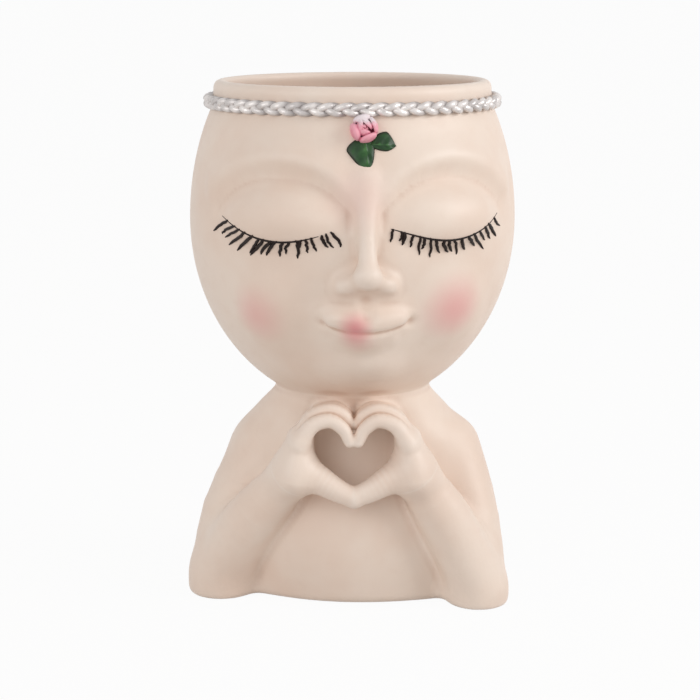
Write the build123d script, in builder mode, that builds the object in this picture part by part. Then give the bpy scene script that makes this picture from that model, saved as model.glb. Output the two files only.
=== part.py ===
"""Head planter: a hollow head-shaped pot on a bust whose two hands form a heart."""
import os
from math import asin, cos, degrees, pi, sin, sqrt

from build123d import *

os.makedirs("parts", exist_ok=True)

# Where the pot's axis stands, so that the origin is under the middle of the whole planter
pot_axis = (1.4, 4.1, 0)

# Head: two half ellipsoids that meet at the cheeks, wider than deep and turned a little
head_width = 128.0
head_depth = 118.0
cheek_z = 152.0
jaw_drop = 74.6
head_turn = 5.0

# Pot: wall, planting space, rim and the seat of the circlet
wall = 7.0
rim_z = 206.5
crown_rise = 172 / 109 * (rim_z - cheek_z)
rim_wall = 5.0
rim_set_in = 0.5
collar_step = 1.2
lip_round = 1.8
collar_height = 11.3
seat_z = rim_z - collar_height
seat_height = 6.4
seat_depth = 1.34
floor_z = 93.0

# Neck joint and drain
neck_z = 86.0
spigot_radius = 20.0
spigot_length = 9.0
joint_gap = 0.2
drain_radius = 5.0

# Face; the eyes and their lashes keep their place across the head
lid_length = 30.0
lid_round = 17.0
lid_bulge = 4.0
eye_x = 0.234375 * head_width
eye_z = 162.5
nose_top_z = 168.0
nose_tip_z = 136.0
nose_base_z = 129.0
nose_reach = 9.5
nose_width = 22.0
mouth_z = 115.6
mouth_width = 34.0
lower_lip_width = 23.0
lip_height = 8.6
lip_sink = 2.2

# Lashes: a fan of enamel strokes under each closed lid
lash_count = 15
lash_length = 6.6
lash_width = 0.9
lash_raise = 0.6
lash_inner = (0.0703125 * head_width, 154.0)
lash_low = (0.2265625 * head_width, 148.4)
lash_outer = (0.40625 * head_width, 156.4)
lash_fan = (0.234375 * head_width, 196.0)
lash_clear = 0.4

# Circlet: two rows of slanted lobes on a band
band_thick = 1.6
lobe_count = 51
lobe_length = 7.0
lobe_width = 2.5
lobe_raise = 1.9
lobe_slant = 22.0

# Rose and leaves
rose_radius = 5.0
rose_height = 4.6
rose_drop = 5.4
rose_z = seat_z - rose_drop
petal_thick = 0.9
leaf_raise = 1.3

# Bust: it swells from the neck to the base, and its base is set back
bust_width = 119.0
bust_depth = 70.8
bust_back = 11.0
neck_width = 60.0
neck_depth = 54.6
bust_turn = -6.0
chest_width = 84.0
chest_depth = 52.0
chest_height = 68.0
chest_y = -6.0
chest_z = 28.0
base_round = 4.0

# Upper arms, from the shoulders down to feet on the ground
right_shoulder_out = 38.5
left_shoulder_out = 41.5
shoulder_y = 1.5
shoulder_z = 62.0
shoulder_radius = 9.8
right_foot_out = 52.5
right_foot_y = -5.0
right_foot_radius = 14.6
left_foot_out = 49.5
left_foot_y = -18.5
left_foot_radius = 13.0

# Forearms, from the elbows to wrists in front of the chest
right_elbow_out = 53.5
right_elbow_y = -8.0
left_elbow_out = 51.0
left_elbow_y = -22.0
elbow_z = 10.0
elbow_radius = 11.4
forearm_radius = 10.8
wrist_radius = 7.8

# Hands: each makes half of the heart, and they meet at heart_x
heart_x = 0.6
heart_y = -40.0
wrist_out = 22.8
wrist_y = -32.0
wrist_z = 56.0
knuckle_out = 20.2
knuckle_y = -34.0
knuckle_z = 70.6
knuckle_radius = 5.4
palm_depth = 16.0
finger_radius = 2.6
finger_pitch = 4.6
lobe_out = 9.2
lobe_z = 79.2
tip_out = 1.9
tip_z = 71.0
thumb_z = 49.4
thumb_radius = 4.0
thumb_reach = 21.6
thumb_rise = 9.8

# Drain plug
plug_flange_radius = 9.0
plug_flange = 2.5
plug_recess = 3.0
plug_length = 13.0
plug_slack = 0.08

half_width = head_width / 2
squash = head_depth / head_width


def skin_x(z, grow=0.0):
    """Half width of the bare head at one height."""
    rise = crown_rise if z > cheek_z else jaw_drop
    return (half_width + grow) * sqrt(1 - ((z - cheek_z) / (rise + grow)) ** 2)


def skin_y(x, z):
    """How far in front of the pot's axis the bare head's skin lies."""
    return -squash * sqrt(skin_x(z) ** 2 - x ** 2)


def skin_plane(x, z, run=1.0, rise_by=0.0):
    """A plane that lies on the bare head at x, z, with its X along the direction (run, rise_by)."""
    rise = crown_rise if z > cheek_z else jaw_drop
    y = skin_y(x, z)
    out = Vector(x / half_width ** 2, y / (squash * half_width) ** 2, (z - cheek_z) / rise ** 2).normalized()
    along = Vector(run, -(out.X * run + out.Z * rise_by) / out.Y, rise_by)
    return Plane(origin=(x, y, z), x_dir=along, z_dir=out)


def angle_at(z, rise):
    """Angle on an ellipse arc at the height z above or below the cheeks."""
    return degrees(asin((z - cheek_z) / rise))


# Outside of the head, up to the rim, with the seat of the circlet
seat_top = seat_z + seat_height
seat_half = skin_x(seat_z) - seat_depth
rim_half = seat_half - rim_set_in
opening_half = rim_half - rim_wall
with BuildPart() as head_outside:
    with BuildSketch(Plane.XZ) as outside_profile:
        with BuildLine():
            jaw_start = angle_at(neck_z, jaw_drop)
            jaw = EllipticalCenterArc((0, cheek_z), half_width, jaw_drop, jaw_start, arc_size=-jaw_start)
            crown_end = angle_at(seat_z, crown_rise)
            crown = EllipticalCenterArc((0, cheek_z), half_width, crown_rise, 0, arc_size=crown_end)
            Polyline(
                crown @ 1,
                (seat_half, seat_z),
                (seat_half, seat_top),
                (rim_half + collar_step, seat_top),
                (rim_half, rim_z),
                (0, rim_z),
                (0, neck_z),
                jaw @ 0,
            )
        make_face()
        fillet(outside_profile.vertices().group_by(Axis.Y)[-1].sort_by(Axis.X)[-1], lip_round)
    revolve(axis=Axis.Z)
    scale(by=(1, squash, 1))

# Planting space inside the head
inner_half = half_width - wall
inner_squash = (head_depth / 2 - wall) / inner_half
inner_jaw = jaw_drop - wall
inner_crown = (rim_z - cheek_z) / sqrt(1 - (opening_half / inner_half) ** 2)
with BuildPart() as planting_space:
    with BuildSketch(Plane.XZ):
        with BuildLine():
            low_start = angle_at(floor_z, inner_jaw)
            low = EllipticalCenterArc((0, cheek_z), inner_half, inner_jaw, low_start, arc_size=-low_start)
            top_end = angle_at(rim_z, inner_crown)
            top = EllipticalCenterArc((0, cheek_z), inner_half, inner_crown, 0, arc_size=top_end)
            Polyline(
                top @ 1,
                (opening_half, rim_z + wall),
                (0, rim_z + wall),
                (0, floor_z),
                low @ 0,
            )
        make_face()
    revolve(axis=Axis.Z)
    scale(by=(1, inner_squash, 1))

# One closed eyelid, lying along X
with BuildPart() as eyelid:
    Sphere(lid_round)
    scale(by=(lid_length / lid_round, 1, 1))

# Lips, lying along X
with BuildPart() as upper_lip:
    Sphere(lip_height / 2)
    scale(by=(mouth_width / lip_height, 1, 1))

with BuildPart() as lower_lip:
    Sphere(lip_height / 2)
    scale(by=(lower_lip_width / lip_height, 1, 1))

# Head with its face, planting space, spigot and drain
upper_lip_z = mouth_z + 0.33 * lip_height
lower_lip_z = mouth_z - 0.33 * lip_height
nose_steps = ((0.20, -0.06), (0.20, 0.20), (0.23, 0.55), (0.32, 0.98), (0.26, 0.55))
nose_deep = 9.0
wing_y = skin_y(0, nose_tip_z) - 0.1 * nose_reach
with BuildPart() as nose:
    for level, (wide, reach) in enumerate(nose_steps):
        height = nose_top_z + (nose_base_z - nose_top_z) * level / (len(nose_steps) - 1)
        with BuildSketch(Plane.XY.offset(height)):
            with Locations((0, skin_y(0, height) + nose_deep - reach * nose_reach)):
                Ellipse(wide * nose_width, nose_deep)
    loft()
    with Locations(
        (0.30 * nose_width, wing_y, nose_base_z + 4),
        (-0.30 * nose_width, wing_y, nose_base_z + 4),
    ):
        Sphere(0.2 * nose_width)

with BuildPart() as head_form:
    add(head_outside.part)
    for side in (1, -1):
        with Locations(skin_plane(side * eye_x, eye_z).offset(lid_bulge - lid_round).location):
            add(eyelid.part)
    add(nose.part)
    with Locations((0, skin_y(0, upper_lip_z) + lip_sink, upper_lip_z)):
        add(upper_lip.part)
    with Locations((0, skin_y(0, lower_lip_z) + lip_sink, lower_lip_z)):
        add(lower_lip.part)
    add(planting_space.part, mode=Mode.SUBTRACT)
    with Locations((0, 0, neck_z)):
        Cylinder(spigot_radius, spigot_length, align=(Align.CENTER, Align.CENTER, Align.MAX))
    with Locations((0, 0, floor_z)):
        drain_depth = floor_z - neck_z + spigot_length + 5
        Cylinder(
            drain_radius, 2 * drain_depth, align=(Align.CENTER, Align.CENTER, Align.CENTER), mode=Mode.SUBTRACT
        )

with BuildPart() as head_pot:
    with Locations(pot_axis):
        add(head_form.part, rotation=(0, 0, head_turn))
head_pot.part.label = "head_pot"
export_step(head_pot.part, "parts/head_pot.step")

# Circlet: a faceted band in its seat with two rows of slanted lobes
band_inner = seat_half + joint_gap / 2
band_outer = band_inner + band_thick
band_mid = seat_z + seat_height / 2


def around(radius, count):
    """Points on an oval of the head's proportions."""
    return [
        (radius * cos(2 * pi * step / count), squash * radius * sin(2 * pi * step / count))
        for step in range(count)
    ]


with BuildPart() as lobe:
    with BuildSketch():
        Polygon(
            (-lobe_length / 2, 0),
            (-lobe_length / 5, -lobe_width / 2),
            (lobe_length / 4, -lobe_width / 2),
            (lobe_length / 2, 0),
            (lobe_length / 5, lobe_width / 2),
            (-lobe_length / 4, lobe_width / 2),
            align=None,
        )
    extrude(amount=lobe_raise + 0.5)
    chamfer(lobe.faces().sort_by(Axis.Z)[-1].edges(), 0.28 * lobe_width)

plait_places = []
for step in range(lobe_count):
    for row in (1, -1):
        turn = 2 * pi * (step + 0.25 * row) / lobe_count
        out = Vector(squash * cos(turn), sin(turn), 0).normalized()
        lean = row * lobe_slant * pi / 180
        along = Vector(-out.Y * cos(lean), out.X * cos(lean), sin(lean))
        foot = Vector(
            (band_outer - 0.5) * cos(turn),
            squash * (band_outer - 0.5) * sin(turn),
            band_mid + 0.54 * row * lobe_width,
        )
        plait_places.append(Plane(origin=foot, x_dir=along, z_dir=out).location)

with BuildPart() as circlet_form:
    with BuildSketch(Plane.XY.offset(seat_z + joint_gap)):
        Polygon(*around(band_outer, 2 * lobe_count), align=None)
        Polygon(*around(band_inner, 2 * lobe_count), align=None, mode=Mode.SUBTRACT)
    extrude(amount=seat_height - 2 * joint_gap)
    with Locations(*plait_places):
        add(lobe.part)

with BuildPart() as circlet:
    with Locations(pot_axis):
        add(circlet_form.part, rotation=(0, 0, head_turn))
circlet.part.label = "circlet"
export_step(circlet.part, "parts/circlet.step")

# Rose under the circlet: a bud inside two rings of cupped petals
rose_plane = skin_plane(0, rose_z)
bud_radius = 0.36 * rose_radius
with BuildPart() as bud_form:
    Cylinder(bud_radius, rose_height, align=(Align.CENTER, Align.CENTER, Align.MIN))
    fillet(bud_form.edges().group_by(Axis.Z)[-1], 0.8 * bud_radius)

with BuildPart() as petal_form:
    Cylinder(rose_radius, petal_thick, align=(Align.CENTER, Align.CENTER, Align.MIN))
    for ring, start in ((1.0, 0), (0.66, 60)):
        for third in range(3):
            reach = ring * rose_radius
            top = rose_height * (1.12 - 0.3 * ring)
            with BuildSketch(Plane.XZ.rotated((0, 0, start + 120 * third))):
                with BuildLine():
                    cup = ThreePointArc((0.72 * reach, 0), (1.04 * reach, 0.5 * top), (0.95 * reach, top))
                    back = ThreePointArc(
                        (0.95 * reach - petal_thick, top),
                        (1.04 * reach - petal_thick, 0.5 * top),
                        (0.72 * reach - petal_thick, 0),
                    )
                    Line(cup @ 1, back @ 0)
                    Line(back @ 1, cup @ 0)
                make_face()
            revolve(axis=Axis.Z, revolution_arc=112)
    add(bud_form.part, mode=Mode.SUBTRACT)

with BuildPart() as rose_bud_form:
    with Locations(rose_plane.location):
        add(bud_form.part)

with BuildPart() as rose_petals_form:
    with Locations(rose_plane.location):
        add(petal_form.part)

with BuildPart() as rose_bud:
    with Locations(pot_axis):
        add(rose_bud_form.part, rotation=(0, 0, head_turn))
rose_bud.part.label = "rose_bud"
export_step(rose_bud.part, "parts/rose_bud.step")

with BuildPart() as rose_petals:
    with Locations(pot_axis):
        add(rose_petals_form.part, rotation=(0, 0, head_turn))
rose_petals.part.label = "rose_petals"
export_step(rose_petals.part, "parts/rose_petals.step")


# Leaves: flat blades on the forehead that start at the rose's edge
leaf_length = 11.5
leaf_width = 8.4


def leaf(x, z, run, rise_by, length, width):
    """A leaf blade that lies on the head at x, z and points along (run, rise_by)."""
    with BuildPart() as blade:
        with BuildSketch(skin_plane(x, z, run, rise_by)):
            with BuildLine():
                ThreePointArc((-0.5 * length, 0), (-0.08 * length, 0.5 * width), (0.5 * length, 0))
                ThreePointArc((0.5 * length, 0), (-0.08 * length, -0.5 * width), (-0.5 * length, 0))
            make_face()
        extrude(amount=leaf_raise)
        with Locations(rose_plane.location):
            Cylinder(1.06 * rose_radius, 8 * leaf_raise, mode=Mode.SUBTRACT)
    return blade.part


with BuildPart() as lower_leaf_form:
    add(leaf(-0.6, rose_z - 7.2, 0.12, -1.0, leaf_length, leaf_width))

with BuildPart() as upper_leaf_form:
    add(leaf(6.2, rose_z - 3.0, 1.0, -0.45, leaf_length, 0.75 * leaf_width))
    add(lower_leaf_form.part, mode=Mode.SUBTRACT)

with BuildPart() as lower_leaf:
    with Locations(pot_axis):
        add(lower_leaf_form.part, rotation=(0, 0, head_turn))
lower_leaf.part.label = "lower_leaf"
export_step(lower_leaf.part, "parts/lower_leaf.step")

with BuildPart() as upper_leaf:
    with Locations(pot_axis):
        add(upper_leaf_form.part, rotation=(0, 0, head_turn))
upper_leaf.part.label = "upper_leaf"
export_step(upper_leaf.part, "parts/upper_leaf.step")

# Lashes: strokes that fan out below the edge of the lid
with BuildLine() as lid_line:
    ThreePointArc(lash_inner, lash_low, lash_outer)


def lash_places(side):
    """Where the strokes of one eye lie on the head."""
    places = []
    for stroke in range(lash_count):
        root = lid_line.line @ (stroke / (lash_count - 1))
        away = Vector(root.X - lash_fan[0], root.Y - lash_fan[1]).normalized()
        middle = root + away * (lash_clear + lash_length / 2)
        places.append(skin_plane(side * middle.X, middle.Y, side * away.X, away.Y).offset(0.05).location)
    return places


with BuildPart() as lash:
    Box(lash_length, lash_width, lash_raise, align=(Align.CENTER, Align.CENTER, Align.MIN))

with BuildPart() as left_lash_form:
    with Locations(*lash_places(1)):
        add(lash.part)

with BuildPart() as right_lash_form:
    with Locations(*lash_places(-1)):
        add(lash.part)

with BuildPart() as left_lashes:
    with Locations(pot_axis):
        add(left_lash_form.part, rotation=(0, 0, head_turn))
left_lashes.part.label = "left_lashes"
export_step(left_lashes.part, "parts/left_lashes.step")

with BuildPart() as right_lashes:
    with Locations(pot_axis):
        add(right_lash_form.part, rotation=(0, 0, head_turn))
right_lashes.part.label = "right_lashes"
export_step(right_lashes.part, "parts/right_lashes.step")


def limb(start, start_radius, end, end_radius):
    """A round tapered limb that starts in a ball and ends flat."""
    reach = end - start
    along = Plane(origin=start, z_dir=reach)
    with BuildPart() as tapered:
        with BuildSketch(along):
            Circle(start_radius)
        with BuildSketch(along.offset(reach.length)):
            Circle(end_radius)
        loft()
        with Locations(start):
            Sphere(start_radius)
    return tapered.part


# Chest that swells forward between the forearms
with BuildPart() as chest:
    Sphere(chest_width / 2)
    scale(by=(1, chest_depth / chest_width, chest_height / chest_width))

# Bell-shaped body from the base to the neck
# Each level, from the base up, gives its share of the swell in width, in depth and in set back
bust_swell = (
    (0.97, 0.96, 1.0),
    (1.0, 1.0, 1.0),
    (0.99, 1.0, 1.0),
    (0.95, 0.93, 0.96),
    (0.87, 0.78, 0.89),
    (0.75, 0.58, 0.78),
    (0.60, 0.33, 0.62),
    (0.29, 0.03, 0.35),
    (0.0, 0.0, 0.0),
)
with BuildPart() as bell:
    for level, (wide, deep, back) in enumerate(bust_swell):
        with BuildSketch(Plane.XY.offset(neck_z * level / (len(bust_swell) - 1))):
            with Locations((0, back * bust_back)):
                Ellipse(
                    (neck_width + wide * (bust_width - neck_width)) / 2,
                    (neck_depth + deep * (bust_depth - neck_depth)) / 2,
                    rotation=bust_turn,
                )
    loft()
    fillet(bell.edges().group_by(Axis.Z)[0], base_round)

with BuildPart() as chest_swell:
    with Locations((0, chest_y, chest_z)):
        add(chest.part)



def upper_arm(shoulder, foot, foot_radius):
    """An upper arm that runs on past its foot, so that the ground cuts it level."""
    past_foot = foot + (foot - shoulder) * 0.15
    return limb(shoulder, shoulder_radius, past_foot, foot_radius)


right_upper_arm = upper_arm(
    Vector(-right_shoulder_out, shoulder_y, shoulder_z),
    Vector(-right_foot_out, right_foot_y, 0),
    right_foot_radius,
)
left_upper_arm = upper_arm(
    Vector(left_shoulder_out, shoulder_y, shoulder_z),
    Vector(left_foot_out, left_foot_y, 0),
    left_foot_radius,
)
bust_masses = (bell.part, chest_swell.part, right_upper_arm, left_upper_arm)

# Bust: neck, shoulders, upper arms and chest, with the socket of the head and the drain
with BuildPart() as bust_form:
    for mass in bust_masses:
        add(mass)
    Box(
        2 * bust_width,
        2 * bust_width,
        chest_height,
        align=(Align.CENTER, Align.CENTER, Align.MAX),
        mode=Mode.SUBTRACT,
    )
    with Locations((0, 0, neck_z)):
        Cylinder(
            spigot_radius + joint_gap,
            spigot_length + joint_gap,
            align=(Align.CENTER, Align.CENTER, Align.MAX),
            mode=Mode.SUBTRACT,
        )
    Cylinder(drain_radius, neck_z, align=(Align.CENTER, Align.CENTER, Align.MIN), mode=Mode.SUBTRACT)
    Cylinder(
        plug_flange_radius + joint_gap,
        plug_recess,
        align=(Align.CENTER, Align.CENTER, Align.MIN),
        mode=Mode.SUBTRACT,
    )

with BuildPart() as bust:
    with Locations(pot_axis):
        add(bust_form.part)
bust.part.label = "bust"
export_step(bust.part, "parts/bust.step")

# Plug that closes the drain from below
with BuildPart() as drain_plug:
    with Locations((pot_axis[0], pot_axis[1], plug_recess)):
        Cylinder(plug_flange_radius, plug_flange, align=(Align.CENTER, Align.CENTER, Align.MAX))
        Cylinder(drain_radius - plug_slack, plug_length, align=(Align.CENTER, Align.CENTER, Align.MIN))
    chamfer(drain_plug.edges().group_by(Axis.Z)[-1], 1.0)
drain_plug.part.label = "drain_plug"
export_step(drain_plug.part, "parts/drain_plug.step")


def forearm(elbow, wrist):
    """A forearm that leaves the bust at the elbow and ends flat at the wrist."""
    reach = wrist - elbow
    along = Plane(origin=elbow, z_dir=reach)
    with BuildPart() as arm:
        for part_way, radius in ((0, forearm_radius), (0.4, forearm_radius), (1, wrist_radius)):
            with BuildSketch(along.offset(part_way * reach.length)):
                Circle(radius)
        loft()
        with Locations(elbow):
            Sphere(elbow_radius)
        with Locations((elbow.X, elbow.Y, 0)):
            Box(
                4 * elbow_radius,
                4 * elbow_radius,
                2 * elbow_radius,
                align=(Align.CENTER, Align.CENTER, Align.MAX),
                mode=Mode.SUBTRACT,
            )
        for mass in bust_masses:
            add(mass, mode=Mode.SUBTRACT)
    return arm.part


right_elbow = Vector(-right_elbow_out, right_elbow_y, elbow_z)
left_elbow = Vector(left_elbow_out, left_elbow_y, elbow_z)
right_wrist = Vector(heart_x - wrist_out, wrist_y, wrist_z)
left_wrist = Vector(heart_x + wrist_out, wrist_y, wrist_z)

with BuildPart() as right_forearm:
    with Locations(pot_axis):
        add(forearm(right_elbow, right_wrist))
right_forearm.part.label = "right_forearm"
export_step(right_forearm.part, "parts/right_forearm.step")

with BuildPart() as left_forearm:
    with Locations(pot_axis):
        add(forearm(left_elbow, left_wrist))
left_forearm.part.label = "left_forearm"
export_step(left_forearm.part, "parts/left_forearm.step")


def thumb(side):
    """A thumb with its mound, widening from the tip where the hands meet to the palm."""
    steps = (
        (0.0, 0.0, 1.0, 1.0),
        (0.24, 0.36, 1.3, 1.3),
        (0.48, 0.82, 1.72, 1.65),
        (0.74, 1.0, 2.05, 1.85),
        (1.0, 0.8, 1.9, 1.85),
    )
    with BuildPart() as mound:
        for out, rise, tall, deep in steps:
            with BuildSketch(Plane.YZ.offset(heart_x + side * out * thumb_reach)):
                with Locations((heart_y + 0.25 * out * thumb_reach, thumb_z + rise * thumb_rise)):
                    Ellipse(deep * thumb_radius, tall * thumb_radius)
        loft()
    return mound.part


def finger(side, place):
    """One curled finger, the index finger in front and the little finger at the back."""
    depth = heart_y + place * finger_pitch
    bend_rise = (0.0, 1.2, 0.85, 0.25)[place] * finger_radius
    tip_rise = (0.0, 2.3, 2.3, 1.9)[place] * finger_radius
    with BuildPart() as curled:
        with BuildLine(Plane.XZ.offset(-depth)) as curl:
            ThreePointArc(
                (heart_x + side * knuckle_out, knuckle_z + finger_radius / 2),
                (heart_x + side * lobe_out, lobe_z + bend_rise),
                (heart_x + side * tip_out, tip_z + tip_rise),
            )
        with BuildSketch(Plane(origin=curl.line @ 0, z_dir=curl.line % 0)):
            Circle(finger_radius)
        sweep(path=curl.line)
        with Locations(curl.line @ 1, curl.line @ 0):
            Sphere(finger_radius)
    return curled.part


def hand(elbow, side):
    """One hand: palm, four curled fingers and a thumb, up to the plane where the hands meet."""
    wrist = Vector(heart_x + side * wrist_out, wrist_y, wrist_z)
    knuckles = Vector(heart_x + side * knuckle_out, knuckle_y, knuckle_z)
    with BuildPart() as palm:
        with BuildSketch(Plane(origin=wrist, z_dir=wrist - elbow)):
            Circle(wrist_radius)
        with BuildSketch(Plane(origin=knuckles, x_dir=(1, 0, 0), z_dir=knuckles - wrist)):
            Ellipse(knuckle_radius, palm_depth / 2)
        loft()
        for depth in (-1, 0, 1):
            with Locations(knuckles + Vector(0, depth * (palm_depth / 2 - knuckle_radius), 0)):
                Sphere(knuckle_radius)
        add(thumb(side))
        for place in range(4):
            add(finger(side, place))
        with Locations((heart_x, heart_y, knuckle_z)):
            Box(
                2 * knuckle_out,
                4 * knuckle_out,
                4 * knuckle_out,
                align=(Align.MAX if side > 0 else Align.MIN, Align.CENTER, Align.CENTER),
                mode=Mode.SUBTRACT,
            )
        for mass in bust_masses:
            add(mass, mode=Mode.SUBTRACT)
    return palm.part


with BuildPart() as right_hand:
    with Locations(pot_axis):
        add(hand(right_elbow, -1))
    add(right_forearm.part, mode=Mode.SUBTRACT)
right_hand.part.label = "right_hand"
export_step(right_hand.part, "parts/right_hand.step")

with BuildPart() as left_hand:
    with Locations(pot_axis):
        add(hand(left_elbow, 1))
    add(left_forearm.part, mode=Mode.SUBTRACT)
left_hand.part.label = "left_hand"
export_step(left_hand.part, "parts/left_hand.step")
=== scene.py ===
# %% [markdown]
# # Head planter
# The planter is cast in cream resin and painted by hand: a hollow head is the pot, and a bust with two
# hands that form a heart carries it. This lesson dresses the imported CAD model. The CAD says where each
# piece sits and how the drain plug moves, and Blender gives the pieces their modelled clay look.

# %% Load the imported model
import math
import random

import bmesh
import bpy
import numpy as np
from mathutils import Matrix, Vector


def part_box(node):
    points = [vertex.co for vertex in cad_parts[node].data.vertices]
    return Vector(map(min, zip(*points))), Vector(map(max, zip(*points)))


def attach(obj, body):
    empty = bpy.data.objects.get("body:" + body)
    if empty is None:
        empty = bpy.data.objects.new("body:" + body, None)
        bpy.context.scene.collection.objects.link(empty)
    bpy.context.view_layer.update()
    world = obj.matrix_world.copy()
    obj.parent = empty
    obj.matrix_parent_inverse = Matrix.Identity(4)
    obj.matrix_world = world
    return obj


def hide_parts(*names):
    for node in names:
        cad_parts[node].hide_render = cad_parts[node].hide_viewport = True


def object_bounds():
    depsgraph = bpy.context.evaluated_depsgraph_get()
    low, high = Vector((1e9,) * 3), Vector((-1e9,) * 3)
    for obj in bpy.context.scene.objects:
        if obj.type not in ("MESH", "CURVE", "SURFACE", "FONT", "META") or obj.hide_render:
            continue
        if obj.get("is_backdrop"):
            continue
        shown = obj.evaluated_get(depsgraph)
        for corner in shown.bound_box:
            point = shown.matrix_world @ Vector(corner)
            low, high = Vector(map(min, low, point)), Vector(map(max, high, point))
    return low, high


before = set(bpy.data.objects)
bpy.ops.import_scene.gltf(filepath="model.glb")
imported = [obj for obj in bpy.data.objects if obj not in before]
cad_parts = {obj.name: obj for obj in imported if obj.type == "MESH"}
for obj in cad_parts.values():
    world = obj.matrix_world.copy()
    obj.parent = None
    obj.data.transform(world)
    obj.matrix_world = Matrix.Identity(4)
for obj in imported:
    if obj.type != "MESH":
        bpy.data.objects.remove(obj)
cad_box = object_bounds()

import openvdb
from mathutils import Vector


def in_mm(place):
    """A place in metres, as rounded millimetres to print."""
    return [round(1000 * v, 1) for v in place]


print("nodes:", sorted(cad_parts))
print("CAD box in mm:", *map(in_mm, cad_box))

# %% [markdown]
# ## The sizes that everything shares
# All the modelling below is written in millimetres, because that is how such a piece is measured, and
# turned into metres only when a mesh is made. The pot's axis stands a little behind the origin, and the
# head is turned a few degrees on the bust.

# %% Shared sizes
MM = 0.001
pot_axis = np.array((1.4, 4.1, 0.0))
head_turn = math.radians(5.0)
head_half_width, head_half_depth = 64.0, 59.0
squash = head_half_depth / head_half_width
cheek_z, crown_rise, jaw_drop = 152.0, 86.0, 74.6
rim_z, neck_z, floor_z = 206.5, 86.0, 93.0
seat_z, seat_height = 195.2, 6.4


def turned(x, y, angle):
    """Flat coordinates, seen from axes that are turned by an angle."""
    c, s = math.cos(angle), math.sin(angle)
    return c * x + s * y, c * y - s * x


def to_head(points):
    """Points of the planter, seen from the turned head."""
    x, y = turned(points[:, 0] - pot_axis[0], points[:, 1] - pot_axis[1], head_turn)
    return np.stack((x, y, points[:, 2]), -1)


def from_head(points):
    """Points of the turned head, back in the planter's frame."""
    points = np.atleast_2d(np.asarray(points, float))
    x, y = turned(points[:, 0], points[:, 1], -head_turn)
    return np.stack((x + pot_axis[0], y + pot_axis[1], points[:, 2]), -1)


# %% Bare skin
def skin_rise(z):
    """How far the bare head reaches from the cheeks, up to the crown or down to the jaw."""
    return crown_rise if z > cheek_z else jaw_drop


def skin_half(z):
    """Half width of the bare head at one height."""
    return head_half_width * math.sqrt(max(0.0, 1 - ((z - cheek_z) / skin_rise(z)) ** 2))


def skin_at(x, z, lift=0.0):
    """A point of the bare head's skin in the head's frame, lifted along its normal."""
    y = -squash * math.sqrt(max(0.0, skin_half(z) ** 2 - x * x))
    radii = np.array((head_half_width, head_half_depth, skin_rise(z)))
    out = np.array((x, y, z - cheek_z)) / radii ** 2
    return np.array((x, y, z)) + lift * out / np.linalg.norm(out)


print("skin at the nose, mm:", skin_at(0, 137).round(1))

# %% [markdown]
# ## Clay
# The master of a casting like this is modelled in clay: balls and rolls are pressed together and the
# joints are smoothed with a thumb. Metaballs or sculpting could do that. Here each form is a small
# distance formula instead, because formulas join softly, cut cleanly and give the same shape every run.
# `soft_join` is the thumb: it adds two forms and fills the crease between them.

# %% Clay tools
speck, tiny = 1e-6, 1e-9


def length(v):
    return np.sqrt((v * v).sum(-1))


def soft_join(a, b, blend):
    near = np.maximum(blend - np.abs(a - b), 0.0) / blend
    return np.minimum(a, b) - 0.25 * blend * near * near


def soft_meet(a, b, blend):
    return -soft_join(-a, -b, blend)


def soft_cut(a, b, blend):
    return soft_meet(a, -b, blend)


def nearly_distance(k0, k1):
    """About the distance to an oval form, from lengths counted in its radii and in their squares."""
    return k0 * (k0 - 1) / np.maximum(k1, speck)


def ball(p, centre, radii):
    """A ball of clay, stretched along the axes."""
    q = p - np.asarray(centre) + speck
    radii = np.asarray(radii, float)
    k0, k1 = length(q / radii), length(q / radii ** 2)
    return k0 * (k0 - 1) / k1


def roll(p, start, end, start_radius, end_radius):
    """A tapered roll of clay with round ends."""
    start, end = np.asarray(start, float), np.asarray(end, float)
    along = end - start
    t = np.clip(((p - start) @ along) / (along @ along), 0, 1)
    return length(p - start - t[:, None] * along) - (start_radius + t * (end_radius - start_radius))


thumbed = soft_join(np.zeros(1), np.zeros(1), 4.0)
print("a blend of 4 mm fills a crease by", -thumbed[0], "mm")


# %% Bent rolls
def bent(points, radii, steps=4):
    """A smooth path through a few joints, with the thickness at each step."""
    joints = np.column_stack((np.asarray(points, float), np.asarray(radii, float)))
    ends = np.vstack((2 * joints[0] - joints[1], joints, 2 * joints[-1] - joints[-2]))
    path = []
    for a, b, c, d in zip(ends[:-3], ends[1:-2], ends[2:-1], ends[3:]):
        for t in np.arange(steps) / steps:
            curve = (2 * a - 5 * b + 4 * c - d) * t ** 2 + (3 * b - a - 3 * c + d) * t ** 3
            path.append(b + 0.5 * ((c - a) * t + curve))
    path = np.array(path + [joints[-1]])
    return path[:, :3], path[:, 3]


def rolls(p, points, radii, steps=4):
    """One bent roll of clay through a few joints."""
    path, thick = bent(points, radii, steps)
    pieces = [roll(p, a, b, ra, rb) for a, b, ra, rb in zip(path[:-1], path[1:], thick[:-1], thick[1:])]
    return np.minimum.reduce(pieces)


def slope(field, points, reach=0.05):
    """Which way a field grows, and its value, by small steps along each axis."""
    base = field(points)
    steps = [(field(points + step) - base) / reach for step in reach * np.eye(3)]
    return np.stack(steps, -1), base


def within(p, low, high, field, reach=10.0):
    """A form that is worked out only near its own box, because far away it changes nothing."""
    gap = length(np.maximum(np.maximum(np.asarray(low) - p, p - np.asarray(high)), 0))
    near = gap < reach
    gap[near] = field(p[near])
    return gap
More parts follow.
